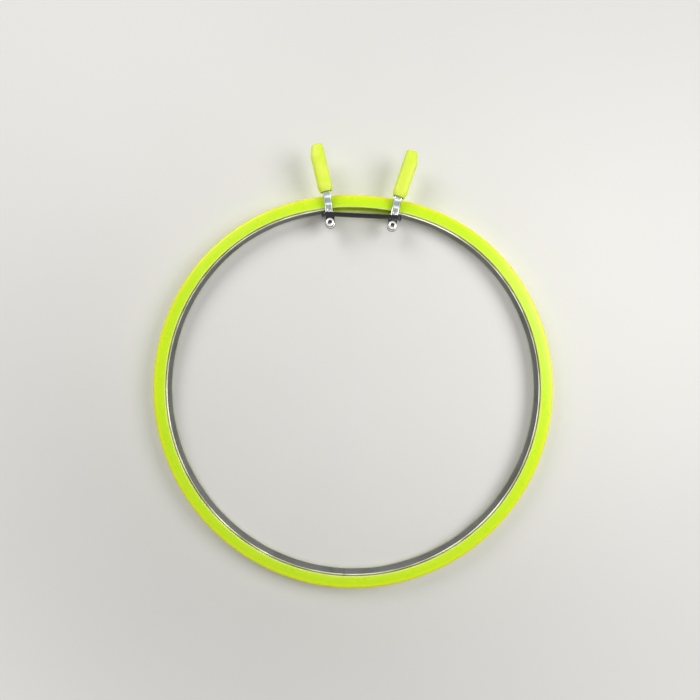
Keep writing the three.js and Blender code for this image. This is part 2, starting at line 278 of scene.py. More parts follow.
def round_the_hoop(section, angles):
    """Carries a section of radii and heights round the hoop, drawn in by the press at each angle."""
    radius = section[:, 0] - press_at(angles)[:, None]
    x = radius * np.sin(angles)[:, None]
    y = ring_y + radius * np.cos(angles)[:, None]
    return np.stack([x, y, np.broadcast_to(section[:, 1], x.shape)], axis=2)


section = ring_section()
from_middle = section[:, 1] - ring_height / 2
lip_wear = bell(section[:, 0] - ring_inner_r, RING_WEAR_SPREAD) * (np.abs(from_middle) > RING_WEAR_START)
# Painted glow: the edge mark lightens the rounded outer edge, the wall next to it a little less, and the
# inner lips.
painted_edge_glow = np.clip((section[:, 0] - ring_r + RING_PAINTED_GLOW_START) / (RING_PAINTED_GLOW_START - RING_PAINTED_GLOW_END), 0, 1)
into_wall = np.minimum(section[:, 1], ring_height - section[:, 1]) - RING_EDGE_R
painted_edge_glow *= 1 - (1 - RING_WALL_PAINTED_GLOW) * np.clip(into_wall / RING_PAINTED_GLOW_DEPTH, 0, 1)
painted_lip_glow = np.clip((ring_inner_r + RING_LIP_R - section[:, 0]) / RING_LIP_R, 0, 1)
# The groove mark is for painted shade: the colour is darker down in the groove.
on_inside = section[:, 0] < (ring_inner_r + ring_r) / 2
groove = on_inside * bulge_at(from_middle, GROOVE_HEIGHT / 2, 1, GROOVE_SQUARENESS)
turns = np.linspace(0, 2 * np.pi, STEPS_ROUND_RING, endpoint=False)
ring_marks = {"rubbed": lip_wear, "edge": np.maximum(painted_edge_glow, painted_lip_glow), "groove": groove}
ring = surface("ring_moulding", round_the_hoop(section, turns), True, ring_marks)


def moulded_fluorescent_abs():
    """Injection-moulded ABS with a fluorescent dye. To the eye: a bright, even yellow-green with soft gloss,
    a painted yellow glow on its rounded edges and lips, faint flow marks, fine scuffs round the lips,
    and painted shade down in the groove, a deeper, duller tone where little light reaches."""
    material, place, lengths = start_material("moulded_fluorescent_abs")
    flow = patches(material, place, size=38, low=0.35, high=0.65, detail=3)
    tone = add(material, "Mix", {"data_type": "RGBA", 6: "#cff906", 7: "#d6fe0c"}, {0: flow})
    # Painted glow: the edge mark mixes the colour towards a bright yellow on the rounded edges and the lips.
    edge = add(material, "Attribute", {"attribute_name": "edge"}).outputs["Fac"]
    painted_glow_share = add(material, "MapRange", {"To Max": 0.8}, {"Value": edge})
    with_painted_glow = add(material, "Mix", {"data_type": "RGBA", 7: "#f4f61a"}, {0: painted_glow_share, 6: tone})
    rubbed = add(material, "Attribute", {"attribute_name": "rubbed"}).outputs["Fac"]
    scuffs = patches(
        material, lengths, size=0.25, low=0.42, high=0.62, start=0.2, detail=3, stretch=(30, 1, 1)
    )
    worn = add(material, "Math", {"operation": "MULTIPLY"}, {0: rubbed, 1: scuffs})
    # Painted shade: the colour turns a deeper, duller yellow-green down in the groove.
    groove = add(material, "Attribute", {"attribute_name": "groove"}).outputs["Fac"]
    groove_shade_share = add(material, "MapRange", {"From Max": 0.6, "To Max": 0.85}, {"Value": groove})
    painted_groove_shade = add(material, "Mix", {"data_type": "RGBA", 7: "#98a90b"}, {0: groove_shade_share, 6: with_painted_glow})
    colour = add(material, "Mix", {"data_type": "RGBA", 7: "#f0ffa4"}, {0: worn, 6: painted_groove_shade})
    # Hair scratches 0.25 mm apart on a real ring, drawn 0.6 mm apart so that they show.
    scratch = patches(material, lengths, size=0.6, low=0.66, high=0.78, detail=1, stretch=(40, 1, 1))
    handled = patches(material, place, size=7, low=0.35, high=0.7, start=0.26, end=0.34, detail=4)
    squared = add(material, "Math", {"operation": "MULTIPLY"}, {0: worn, 1: worn})
    roughness = add(material, "Math", {"operation": "ADD"}, {0: handled, 1: squared})
    ripples = grain(material, place, size=1.1, detail=1)
    peel = add(material, "Bump", {"Distance": 0.008 * MM}, {"Height": ripples})
    relief = add(material, "Bump", {"Distance": -0.006 * MM}, {"Height": scratch, "Normal": peel})
    scatter = {"Subsurface Weight": 0.35, "Subsurface Scale": 0.002, "Subsurface Radius": (1.0, 1.0, 0.1)}
    return finish_material(material, {"IOR": 1.46, **scatter}, colour, roughness, relief)


ring.data.materials.append(moulded_fluorescent_abs())
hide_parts("outer_ring")
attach(ring, "outer_hoop")


# The spring band. One strip of spring steel, rolled with a shallow channel so that its middle stands out into
# the ring's groove, nickel plated, and open at the clamp, where its ends are rolled inwards into eyes. Here
# it is two halves that meet opposite the clamp, where it hardly moves.

BAND_HEIGHT = 7.1
BAND_THICKNESS = 0.9
BAND_BULGE = 0.9  # how far its middle stands out past its edges
BAND_UNDER_LIPS = 0.3  # how far its outer face reaches in between the ring's lips where it meets the eye
BAND_INSET = 0.35  # how much further in than that it lies everywhere else, just clear of the lips
BAND_EDGE_R = 0.15
BAND_FLAT_ANGLE = 6.0  # degrees, over which the channel runs out towards the eye
EYE_BORE_R = 1.4
EYE_START = 0.35  # degrees round the hoop from the pin, where the strip ends and its eye starts
EYE_ROLL = 298.0  # degrees that the end is rolled through
SLIT_EDGE_WEAR = 0.4  # from its edges, over which the rubbing fades
CORNER_STEPS = 5
STEPS_ALONG_BAND = 420
STEPS_ROUND_EYE = 64
SIDES = (("right", 1), ("left", -1))  # how a piece's name ends, and the sign of its X

band_outer_r = ring_inner_r + BAND_UNDER_LIPS
band_middle_r = band_outer_r - BAND_THICKNESS / 2
pin_low, pin_high = box_mm("band_pin_right")
pin_at = (pin_low[:2] + pin_high[:2]) / 2
eye_angle = np.arctan2(pin_at[0], pin_at[1] - ring_y)


def rounded_box(width, height, radius):
    """The outline of a rectangle about the origin with its corners cut to quarter circles, anticlockwise."""
    x = width / 2 - radius
    y = height / 2 - radius
    corners = ((x, -y, -90), (x, y, 0), (-x, y, 90), (-x, -y, 180))
    return np.concatenate([arc((cx, cy), radius, turn, turn + 90, CORNER_STEPS) for cx, cy, turn in corners])


def smooth_step(value):
    """A value clipped to 0 and 1, and then three times its square less twice its cube, level at both ends."""
    share = np.clip(value, 0, 1)
    return share**2 * (3 - 2 * share)


def right_of(path):
    """At each point of a flat path, the unit vector to its right: its gradient turned clockwise."""
    run = np.gradient(path, axis=0)
    run /= np.linalg.norm(run, axis=1)[:, None]
    return points(run[:, 1], -run[:, 0])


def band_section():
    """The band's section, anticlockwise about its middle: a rounded box with points all up its long sides."""
    upright = np.linspace(-1, 1, 21)[1:-1] * (BAND_HEIGHT / 2 - BAND_EDGE_R)
    outer_side = points(BAND_THICKNESS / 2, upright)
    inner_side = outer_side[::-1] * (-1, 1)
    edges = rounded_box(BAND_THICKNESS, BAND_HEIGHT, BAND_EDGE_R)
    lower_right, upper, lower_left = np.split(edges, [CORNER_STEPS, 3 * CORNER_STEPS])
    return np.concatenate([lower_right, outer_side, upper, inner_side, lower_left])


def band_half(name, side):
    """Half of the band: its edgewise section carried from the far point to the clamp and round the eye.

    The path is the hoop's circle drawn in by the press, and then a circle about the pin that starts along the
    same line. The section shifts inwards by the inset, and outwards by a parabola of its height. Both fade to
    nothing towards the eye, by a smooth step.
    """
    angles = np.linspace(np.pi, eye_angle + np.radians(EYE_START), STEPS_ALONG_BAND)
    radius = band_middle_r - press_at(angles)
    strip = points(radius * np.sin(angles), ring_y + radius * np.cos(angles))
    heading = (strip[-1] - strip[-2]) / np.linalg.norm(strip[-1] - strip[-2])
    outwards = np.array([heading[1], -heading[0]])
    rolled = np.radians(np.linspace(0, EYE_ROLL, STEPS_ROUND_EYE))[:, None]
    roll_r = EYE_BORE_R + BAND_THICKNESS / 2
    roll = pin_at + roll_r * (outwards * np.cos(rolled) + heading * np.sin(rolled))
    path = np.concatenate([strip, roll])
    outline = band_section()
    fade = smooth_step((angles - eye_angle) / np.radians(BAND_FLAT_ANGLE))
    fade = np.concatenate([fade, np.zeros(STEPS_ROUND_EYE)])[:, None]
    channel = bulge_at(outline[:, 1], BAND_HEIGHT / 2, BAND_BULGE) - BAND_INSET
    offset = outline[:, 0] + fade * channel
    flat = path[:, None] + right_of(path)[:, None] * offset[..., None]
    height = np.broadcast_to(ring_height / 2 + outline[:, 1], offset.shape)
    grid = np.concatenate([flat, height[..., None]], axis=2) * (side, 1, 1)
    into_rub = np.abs(outline[:, 1]) - BAND_HEIGHT / 2 + SLIT_EDGE_WEAR
    return surface(name, grid, False, {"rubbed": np.clip(into_rub / SLIT_EDGE_WEAR, 0, 1)})


def rolled_nickel_plated_spring_steel():
    """Cold-rolled spring steel under thin nickel. To the eye: a dark, cool grey drawn out lengthways by fine
    rolling lines, its slit edges rubbed bright and brighter still in long stretches of painted glint, with
    brown-grey tarnish between them."""
    material, place, lengths = start_material("rolled_nickel_plated_spring_steel")
    tarnish = patches(material, place, size=16, low=0.48, high=0.72, end=0.55, detail=4)
    plate = add(material, "Mix", {"data_type": "RGBA", 6: "#878b8b", 7: "#63615d"}, {0: tarnish})
    # Painted highlight: the slit edges' colour swings between grey and near white in long stretches, as
    # painted glints on top of their wear.
    worn = patches(material, place, size=24, low=0.42, high=0.6)
    edge = add(material, "Mix", {"data_type": "RGBA", 6: "#a9a897", 7: "#efefe4"}, {0: worn})
    rubbed = add(material, "Attribute", {"attribute_name": "rubbed"}).outputs["Fac"]
    colour = add(material, "Mix", {"data_type": "RGBA"}, {0: rubbed, 6: plate, 7: edge})
    # Rolling lines are some 0.05 mm apart on real strip, drawn 0.3 mm apart so that they show.
    lines = grain(material, lengths, size=0.3, detail=3, stretch=(90, 1, 1))
    gloss = {"From Min": 0.3, "From Max": 0.7, "To Min": 0.2, "To Max": 0.38}
    rolled = add(material, "MapRange", gloss, {"Value": lines})
    slit = {"operation": "MULTIPLY_ADD", 1: 0.2}
    roughness = add(material, "Math", slit, {0: rubbed, 2: rolled})
    relief = add(material, "Bump", {"Distance": 0.012 * MM}, {"Height": lines})
    swells = grain(material, place, size=9, detail=1)
    waves = add(material, "Bump", {"Distance": 0.04 * MM}, {"Height": swells, "Normal": relief})
    return finish_material(material, {"Metallic": 1.0}, colour, roughness, waves)


spring_steel = rolled_nickel_plated_spring_steel()
for name, side in SIDES:
    half = band_half("spring_band_" + name, side)
    half.data.materials.append(spring_steel)
    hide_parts("band_" + name, "band_middle")
    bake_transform(half)


# The levers. Two flat strips pressed from 2 mm steel, nickel plated and barrel polished, so that their edges
# are round and bright, their rims with a painted highlight as well and their sides with a painted dark
# reflection. Each turns on a rivet at its round end, is pinned to the band's eye a little further on, and
# crosses over the ring, where it bends outwards and upwards into the tongue that carries the sleeve.

ARM_WIDTH = 4.2
ARM_EDGE_R = 0.7
ARM_END_R = 2.7
ARM_FILLET_R = 1.5  # where the round end runs into the neck
ARM_NECK = 12.4  # from the rivet to where the lever bends outwards
ARM_BEND_LENGTH = 2.2
ARM_SPLAY = 16.1  # degrees between the sleeves and the hoop's middle line
ARM_RISE_START = 9.4  # from the rivet
ARM_RISE = 1.9
ARM_TILT = 5.0  # degrees that the tongue slopes upwards
ARM_TONGUE = 19.0
ARM_TIP_R = 1.2
ARM_HOLE_R = 1.55
STEPS_ACROSS_ARM = 46

rivet_low, rivet_high = box_mm("pivot_rivet_right")
rivet_at = (rivet_low[:2] + rivet_high[:2]) / 2
arm_lean = np.arctan2(*(pin_at - rivet_at))
arm_bottom = box_mm("arm_right")[0][2]
arm_top = pin_high[2]


def turned_flat(places, angle):
    """Turns points clockwise about the upright axis, seen from above, by an angle in radians."""
    x, y, z = np.moveaxis(places, -1, 0)
    turned_x = x * np.cos(angle) + y * np.sin(angle)
    turned_y = y * np.cos(angle) - x * np.sin(angle)
    return np.stack([turned_x, turned_y, z], axis=-1)


def on_lever(places, side):
    """Puts points drawn about the rivet, with +Y along the lever's neck, in place on one side of the hoop."""
    placed = turned_flat(places, arm_lean) + (*rivet_at, 0)
    return placed * (side, 1, 1)


def arm_station(distance):
    """A point on a lever's middle line: its place, height and heading at a distance from the rivet.

    In plan it is a straight line, a circle's arc and a line again. Its height is a smooth step up over the
    ring's edge, and then a steady slope.
    """
    turn = np.radians(ARM_SPLAY) - arm_lean
    bend_r = ARM_BEND_LENGTH / turn
    heading = turn * np.clip((distance - ARM_NECK) / ARM_BEND_LENGTH, 0, 1)
    beyond = np.maximum(0, distance - ARM_NECK - ARM_BEND_LENGTH)
    x = bend_r * (1 - np.cos(heading)) + beyond * np.sin(heading)
    y = np.minimum(distance, ARM_NECK) + bend_r * np.sin(heading) + beyond * np.cos(heading)
    step = smooth_step((distance - ARM_RISE_START) / (ARM_NECK + ARM_BEND_LENGTH - ARM_RISE_START))
    rise = ARM_RISE * step + beyond * np.tan(np.radians(ARM_TILT))
    return x, y, (arm_bottom + arm_top) / 2 + rise, heading


def holed_plate(outline, hole_r, thickness, edge_r, steps):
    """A flat plate with one round hole about the origin, as a tube that joins up with itself.

    A row belongs to one point of the outline and the point of the hole that lies the same way. Its columns go
    up the hole, straight out over the top, round the outer edge by two quarter circles, and back underneath.
    They lie closer together beside the hole and beside the edge.
    """
    towards = outline / np.linalg.norm(outline, axis=1)[:, None]
    ahead = np.roll(outline, -1, axis=0) - outline
    ahead /= np.linalg.norm(ahead, axis=1)[:, None]
    run = ahead + np.roll(ahead, 1, axis=0)
    run /= np.linalg.norm(run, axis=1)[:, None]
    normal = points(run[:, 1], -run[:, 0])
    normal *= np.sign(np.sum(normal * towards))
    share = np.concatenate([[0, 0.04], np.linspace(0.08, 0.94, steps), [0.985, 1]])
    edge = np.radians(np.linspace(0, 90, 7))[1:]
    half = thickness / 2
    out = np.concatenate([share, np.ones(edge.shape)])
    bulge = np.concatenate([np.zeros(share.shape), edge_r * np.sin(edge)])
    height = np.concatenate([np.full(share.shape, half), half - edge_r * (1 - np.cos(edge))])
    out, bulge = (np.concatenate([half_way, half_way[::-1]]) for half_way in (out, bulge))
    height = np.concatenate([height, -height[::-1]])
    root = towards * hole_r
    rim = outline - normal * edge_r
    flat = root[:, None] + (rim - root)[:, None] * out[:, None] + normal[:, None] * bulge[:, None]
    upright = np.broadcast_to(height[:, None], (*flat.shape[:2], 1))
    return np.concatenate([flat, upright], axis=2), bulge / edge_r


def arm_outline():
    """A lever's outline laid out straight: a round end, fillets into the parallel neck, and a rounded tip."""
    half = ARM_WIDTH / 2
    end = ARM_NECK + ARM_BEND_LENGTH + ARM_TONGUE
    fillet_x = half + ARM_FILLET_R
    fillet_y = np.sqrt((ARM_END_R + ARM_FILLET_R) ** 2 - fillet_x**2)
    meeting = np.degrees(np.arctan2(fillet_y, fillet_x))
    straight = np.linspace(fillet_y, end - ARM_TIP_R, 60)[1:-1]
    right = np.concatenate([
        arc((0, 0), ARM_END_R, -90, meeting, 30)[1:],
        arc((fillet_x, fillet_y), ARM_FILLET_R, meeting + 180, 180, 9)[1:],
        points(half, straight),
        arc((half - ARM_TIP_R, end - ARM_TIP_R), ARM_TIP_R, 0, 90, 8),
    ])
    return np.concatenate([[[0, -ARM_END_R]], right, right[::-1] * (-1, 1)])


def arm(name, side):
    """A lever: its straight plate bent along the middle line, each point keeping its distance across."""
    plate, edge = holed_plate(arm_outline(), ARM_HOLE_R, arm_top - arm_bottom, ARM_EDGE_R, STEPS_ACROSS_ARM)
    x, y, z, heading = arm_station(plate[..., 1])
    across = plate[..., 0]
    bent = np.stack([x + across * np.cos(heading), y - across * np.sin(heading), z + plate[..., 2]], axis=-1)
    return surface(name, on_lever(bent, side), True, {"rubbed": edge})


def barrelled_nickel_plated_steel():
    """Pressed steel, tumbled in a barrel and nickel plated. To the eye: bright and cool, softly uneven from
    the tumbling, with tiny dents that catch the light, rims polished and lightened by a painted highlight,
    and sides darkened by a painted dark reflection."""
    material, place, _ = start_material("barrelled_nickel_plated_steel")
    cloud = patches(material, place, size=5, low=0.35, high=0.7, end=0.5, detail=3)
    plate = add(material, "Mix", {"data_type": "RGBA", 6: "#a9b4b2", 7: "#87938f"}, {0: cloud})
    rubbed = add(material, "Attribute", {"attribute_name": "rubbed"}).outputs["Fac"]
    # Painted highlight and painted dark reflection: the rim share lightens the top of the rounding, as polish
    # and as a highlight, and the side share darkens the sides.
    rim = add(material, "MapRange", {"From Min": 0.05, "From Max": 0.5}, {"Value": rubbed})
    side = add(material, "MapRange", {"From Min": 0.6, "From Max": 0.95}, {"Value": rubbed})
    rimmed = add(material, "Mix", {"data_type": "RGBA", 7: "#dfe3e1"}, {0: rim, 6: plate})
    colour = add(material, "Mix", {"data_type": "RGBA", 7: "#565d5b"}, {0: side, 6: rimmed})
    pores = grain(material, place, size=0.35, detail=3)
    gloss = {"From Min": 0.3, "From Max": 0.7, "To Min": 0.24, "To Max": 0.34}
    roughness = add(material, "MapRange", gloss, {"Value": pores})
    dents = patches(material, place, size=1.3, low=0.25, high=0.45)
    pitted = add(material, "Bump", {"Distance": 0.002 * MM}, {"Height": pores})
    relief = add(material, "Bump", {"Distance": 0.01 * MM}, {"Height": dents, "Normal": pitted})
    return finish_material(material, {"Metallic": 1.0}, colour, roughness, relief)


lever_steel = barrelled_nickel_plated_steel()
for name, side in SIDES:
    lever = arm("lever_" + name, side)
    lever.data.materials.append(lever_steel)
    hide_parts("arm_" + name)
    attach(lever, "lever_" + name)


# The band's pins. Small shouldered pins turned from bright bar: a head under the eye, a shank through it, and
# a shoulder that the lever stands on, with the end peened over in a low dome on the lever's top.

PIN_R = 1.0
PIN_HEAD_R = 1.9
PIN_HEAD_THICKNESS = 0.6
PIN_HEAD_EDGE_R = 0.18
PIN_CENTRE_R = 0.2  # of the flat face that closes it underneath
PIN_SHOULDER_R = 1.6
PIN_SHOULDER_EDGE_R = 0.1
PIN_CHAMFER = 0.05  # where the shank meets the head and the shoulder
PIN_TENON_R = 0.6
PIN_SEAT = 0.02  # the shoulder stops this much short of the lever
PIN_DOME_R = 1.1
PIN_DOME_HEIGHT = 0.24
PIN_DOME_SINK = 0.05  # how far its rim is pressed into the lever
LAYER_GAP = 0.3  # between the band and a pin's shoulder, and between the levers and the link bar
STEPS_ROUND_TURNING = 48

band_top = box_mm("band_right")[1][2]


def turning(name, profile, centre, side, looped=False, marks=None):
    """A profile of radii and heights turned about an upright axis through centre, as on a lathe."""
    angle = np.linspace(0, 2 * np.pi, STEPS_ROUND_TURNING, endpoint=False)
    x = (centre[0] + profile[:, :1] * np.cos(angle)) * side
    y = centre[1] + profile[:, :1] * np.sin(angle)
    height = np.broadcast_to(profile[:, 1:], x.shape)
    return surface(name, np.stack([x, y, height], axis=2), looped, marks)


def pin_profile():
    """The pin's radii and heights from under its head to the top of its dome, with its edges in arcs."""
    foot = pin_low[2]
    edge = PIN_HEAD_EDGE_R
    cut = PIN_CHAMFER
    corner = PIN_SHOULDER_EDGE_R
    head_top = foot + PIN_HEAD_THICKNESS
    shoulder = band_top + LAYER_GAP
    seat = arm_bottom - PIN_SEAT
    rim = arm_top - PIN_DOME_SINK
    dome_angle = np.radians(np.linspace(0, 85, 9))
    return np.concatenate([
        [[PIN_CENTRE_R, foot]],
        arc((PIN_HEAD_R - edge, foot + edge), edge, -90, 0, 5),
        arc((PIN_HEAD_R - edge, head_top - edge), edge, 0, 90, 5),
        [[PIN_R + cut, head_top], [PIN_R, head_top + cut], [PIN_R, shoulder - cut], [PIN_R + cut, shoulder]],
        arc((PIN_SHOULDER_R - corner, shoulder + corner), corner, -90, 0, 4),
        [[PIN_SHOULDER_R, seat], [PIN_TENON_R, seat], [PIN_TENON_R, rim], [PIN_DOME_R, rim]],
        points(PIN_DOME_R * np.cos(dome_angle), arm_top + PIN_DOME_HEIGHT * np.sin(dome_angle)),
    ])


def turned_bright_steel():
    """Free-cutting steel, turned. To the eye: bright, with fine rings round its axis from the tool."""
    material, place, lengths = start_material("turned_bright_steel")
    # The tool's feed marks are 0.08 mm apart, and the long stretch round the pin makes them rings.
    rings = grain(material, lengths, size=0.08, stretch=(1, 400, 1))
    cloud = patches(material, place, size=2, low=0.3, high=0.7)
    colour = add(material, "Mix", {"data_type": "RGBA", 6: "#c8cacb", 7: "#a5a6a8"}, {0: cloud})
    gloss = {"From Min": 0.3, "From Max": 0.7, "To Min": 0.24, "To Max": 0.36}
    roughness = add(material, "MapRange", gloss, {"Value": rings})
    relief = add(material, "Bump", {"Distance": 0.008 * MM}, {"Height": rings})
    return finish_material(material, {"Metallic": 1.0}, colour, roughness, relief)


pin_steel = turned_bright_steel()
for name, side in SIDES:
    pin = turning("shouldered_pin_" + name, pin_profile(), pin_at, side)
    pin.data.materials.append(pin_steel)
    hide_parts("band_pin_" + name)
    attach(pin, "lever_" + name)


# The link bar. A black strip pressed from 1.5 mm steel that ties the two levers together. It crosses over
# them both, a round tab runs down to each rivet, and its ends are bent down beside the levers as stops.

LINK_BAR_WIDTH = 2.2
LINK_BAR_OUT = 4.5  # the bar's middle line, beyond the rivets
LINK_TAB_R = 2.3
LINK_HOLE_R = 1.55
LINK_EDGE_R = 0.28
LINK_BEND_R = 0.55  # inside the bent-down ends
LINK_TAB_INSET = 0.02  # the tabs lie this much inside the bar's faces, so that the two can be joined
LINK_TAB_OVERLAP = 0.3  # how far they run into it past its rounded edge

link_low, link_high = box_mm("link_bar")
link_thickness = link_high[2] - (arm_top + LAYER_GAP)
link_middle = link_high[2] - link_thickness / 2
link_bar_y = rivet_at[1] + LINK_BAR_OUT


def carried_upright(path, outline, y):
    """Carries an outline along a path in the upright plane of the bar.

    The outline's first number lies along the hoop's Y and its second square to the path, in the plane.
    """
    upright = path[:, None] - right_of(path)[:, None] * outline[:, 1:]
    depth = np.broadcast_to(y + outline[:, 0], upright.shape[:2])
    return np.stack([upright[..., 0], depth, upright[..., 1]], axis=2)


def link_strip():
    """The bar with its two stops: up, round a quarter circle, across, round another and down."""
    bend = LINK_BEND_R + link_thickness / 2
    end = link_high[0] - link_thickness / 2
    foot = link_low[2]
    across = np.linspace(-1, 1, 60)[1:-1] * (end - bend)
    rise = np.linspace(foot, link_middle - bend, 6)[:-1]
    path = np.concatenate([
        points(-end, rise),
        arc((-end + bend, link_middle - bend), bend, 180, 90, 9),
        points(across, link_middle),
        arc((end - bend, link_middle - bend), bend, 90, 0, 9),
        points(end, rise[::-1]),
    ])
    outline = rounded_box(LINK_BAR_WIDTH, link_thickness, LINK_EDGE_R)
    return surface("black_link_bar", carried_upright(path, outline, link_bar_y), False, {"rubbed": 0.0})


def link_tab(side):
    """A tab with its rivet's hole: half a circle below the rivet, and straight sides up into the bar."""
    top = LINK_BAR_OUT - LINK_BAR_WIDTH / 2 + LINK_EDGE_R + LINK_TAB_OVERLAP
    side_y = np.linspace(0, top, 12)[1:]
    top_x = np.linspace(1, -1, 16)[1:-1] * LINK_TAB_R
    outline = np.concatenate([
        arc((0, 0), LINK_TAB_R, 180, 360, 40),
        points(LINK_TAB_R, side_y),
        points(top_x, top),
        points(-LINK_TAB_R, side_y[::-1]),
    ])
    thickness = link_thickness - 2 * LINK_TAB_INSET
    plate, edge = holed_plate(outline, LINK_HOLE_R, thickness, LINK_EDGE_R, 8)
    placed = (plate + (*rivet_at, link_middle)) * (side, 1, 1)
    return surface("link_tab", placed, True, {"rubbed": edge})


def joined(whole, *additions):
    """Joins closed pieces into the first by Boolean unions, and keeps the result as its plain mesh."""
    for addition in additions:
        modifier = whole.modifiers.new("join", "BOOLEAN")
        modifier.operation = "UNION"
        modifier.solver = "EXACT"
        modifier.object = addition
    bpy.context.view_layer.update()
    evaluated = whole.evaluated_get(bpy.context.evaluated_depsgraph_get())
    mesh = bpy.data.meshes.new_from_object(evaluated)
    whole.modifiers.clear()
    whole.data = mesh
    for addition in additions:
        bpy.data.objects.remove(addition)
    return whole


def blackened_pressed_steel():
    """Pressed steel with a black oxide finish under oil. To the eye: a satin near-black with a faint
    blue-brown cast, mottled, and rubbed through to grey metal along its edges."""
    material, place, _ = start_material("blackened_pressed_steel")
    mottle = patches(material, place, size=3.5, low=0.35, high=0.7, detail=4)
    oxide = add(material, "Mix", {"data_type": "RGBA", 6: "#0d1016", 7: "#17151a"}, {0: mottle})
    rubbed = add(material, "Attribute", {"attribute_name": "rubbed"}).outputs["Fac"]
    rubs = patches(material, place, size=0.9, low=0.5, high=0.62, end=0.8, detail=3)
    bare = add(material, "Math", {"operation": "MULTIPLY"}, {0: rubbed, 1: rubs})
    colour = add(material, "Mix", {"data_type": "RGBA", 7: "#8b8a8c"}, {0: bare, 6: oxide})
    grit = grain(material, place, size=0.3, detail=3)
    gloss = {"From Min": 0.3, "From Max": 0.7, "To Min": 0.28, "To Max": 0.4}
    roughness = add(material, "MapRange", gloss, {"Value": grit})
    relief = add(material, "Bump", {"Distance": 0.006 * MM}, {"Height": grit})
    return finish_material(material, {"IOR": 1.4}, colour, roughness, relief, bare)


link = joined(link_strip(), link_tab(1), link_tab(-1))
link.data.materials.clear()
link.data.materials.append(blackened_pressed_steel())
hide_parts("link_bar")
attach(link, "inner_ring")


# The pivot rivets. Hollow brass eyelets, nickel plated, set with a flaring tool so that both ends curl
# outwards: the top over the link bar's tab and the bottom under the lever, which turns on the shank between.

RIVET_SHANK_R = 1.4
RIVET_HOLE_R = 0.9
RIVET_FOOT_HOLE_R = 0.6  # at the lower end, where the bore is narrower
RIVET_NECK_DROP = 0.1  # along the shank, the height of the bevel that takes it out to the curl
RIVET_NECK_OUT = 0.08
RIVET_FLARE_R = 2.2
RIVET_FLARE_HEIGHT = 0.62
RIVET_RIM_R = 0.2
RIVET_CREST_SHIFT = 0.05  # the crest lies this much outside the middle of the curl
RIVET_DOME_INSET = 0.05  # and the dome ends this much inside the rim
RIVET_MOUTH_DEPTH = 0.75  # from the crest to where the bore is straight
RIVET_SEAT = 0.02  # between a curl and the face that it holds
# The bore's dark is painted shade, reaching a little way out over the mouth.
RIVET_SHADE_REACH = 0.3  # how far out from the bore its dark reaches
RIVET_SHADE_FADE = 0.2


def flare(seat, direction, hole_r):
    """One curled end: from the shank out under the curl, round its rim, over its dome and into the bore.

    The rim is a small circle, the dome an ellipse's arc, and the mouth of the bore a quarter of an ellipse.
    """
    dome_angle = np.radians(np.linspace(30, 90, 8))
    crest_r = (RIVET_FLARE_R + hole_r) / 2 + RIVET_CREST_SHIFT
    dome_r = crest_r + (RIVET_FLARE_R - crest_r - RIVET_DOME_INSET) * np.cos(dome_angle)
    mouth_angle = np.radians(np.linspace(90, 180, 9))[1:]
    mouth_r = crest_r + (crest_r - hole_r) * np.cos(mouth_angle)
    curl = np.concatenate([
        [[RIVET_SHANK_R, -RIVET_NECK_DROP], [RIVET_SHANK_R + RIVET_NECK_OUT, 0]],
        arc((RIVET_FLARE_R - RIVET_RIM_R, RIVET_RIM_R), RIVET_RIM_R, -90, 50, 8),
        points(dome_r, RIVET_FLARE_HEIGHT * np.sin(dome_angle)),
        points(mouth_r, RIVET_FLARE_HEIGHT - RIVET_MOUTH_DEPTH * (1 - np.sin(mouth_angle))),
    ])
    return curl * (1, direction) + (0, seat)


def rivet_profile():
    """The rivet's radii and heights, once round: top curl, down the bore, bottom curl, up the shank. With
    them comes the painted shade of each: 1 in the bore, and falling to nothing on a straight line outside it."""
    top = flare(link_high[2] + RIVET_SEAT, 1, RIVET_HOLE_R)
    bottom = flare(arm_bottom - RIVET_SEAT, -1, RIVET_FOOT_HOLE_R)
    profile = np.concatenate([top, bottom[::-1]])
    return profile, np.clip((RIVET_HOLE_R + RIVET_SHADE_REACH - profile[:, :1]) / RIVET_SHADE_FADE, 0, 1)


def nickel_plated_eyelet_brass():
    """Drawn brass under bright nickel. To the eye: nearly white, warm where the nickel is thin, with rings
    from the flaring tool, and a bore painted nearly black as painted shade."""
    material, place, lengths = start_material("nickel_plated_eyelet_brass")
    thin = patches(material, place, size=1.2, low=0.5, high=0.75, end=0.5, detail=3)
    plate = add(material, "Mix", {"data_type": "RGBA", 6: "#e8e8e4", 7: "#c9bfa4"}, {0: thin})
    # Painted shade: the rubbed mark here paints the bore and its mouth nearly black.
    painted_bore_shade = add(material, "Attribute", {"attribute_name": "rubbed"}).outputs["Fac"]
    colour = add(material, "Mix", {"data_type": "RGBA", 7: "#1f1b18"}, {0: painted_bore_shade, 6: plate})
    rings = grain(material, lengths, size=0.12, stretch=(1, 300, 1))
    gloss = {"From Min": 0.3, "From Max": 0.7, "To Min": 0.3, "To Max": 0.42}
    roughness = add(material, "MapRange", gloss, {"Value": rings})
    relief = add(material, "Bump", {"Distance": 0.006 * MM}, {"Height": rings})
    return finish_material(material, {"Metallic": 1.0}, colour, roughness, relief)


eyelet_brass = nickel_plated_eyelet_brass()
profile, painted_bore_shade = rivet_profile()
for name, side in SIDES:
    # The rivet's rubbed mark holds its painted bore shade.
    rivet = turning("hollow_rivet_" + name, profile, rivet_at, side, True, {"rubbed": painted_bore_shade})
    rivet.data.materials.append(eyelet_brass)
    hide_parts("pivot_rivet_" + name)
    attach(rivet, "inner_ring")


# The sleeves. Soft PVC pushed on to the levers' tongues, in the ring's colour but paler. Each is a squarish
# oval, drawn in at its mouth and, on its outer side only, towards its blunt tip. The left one sits 1 mm
# further out than the right one.

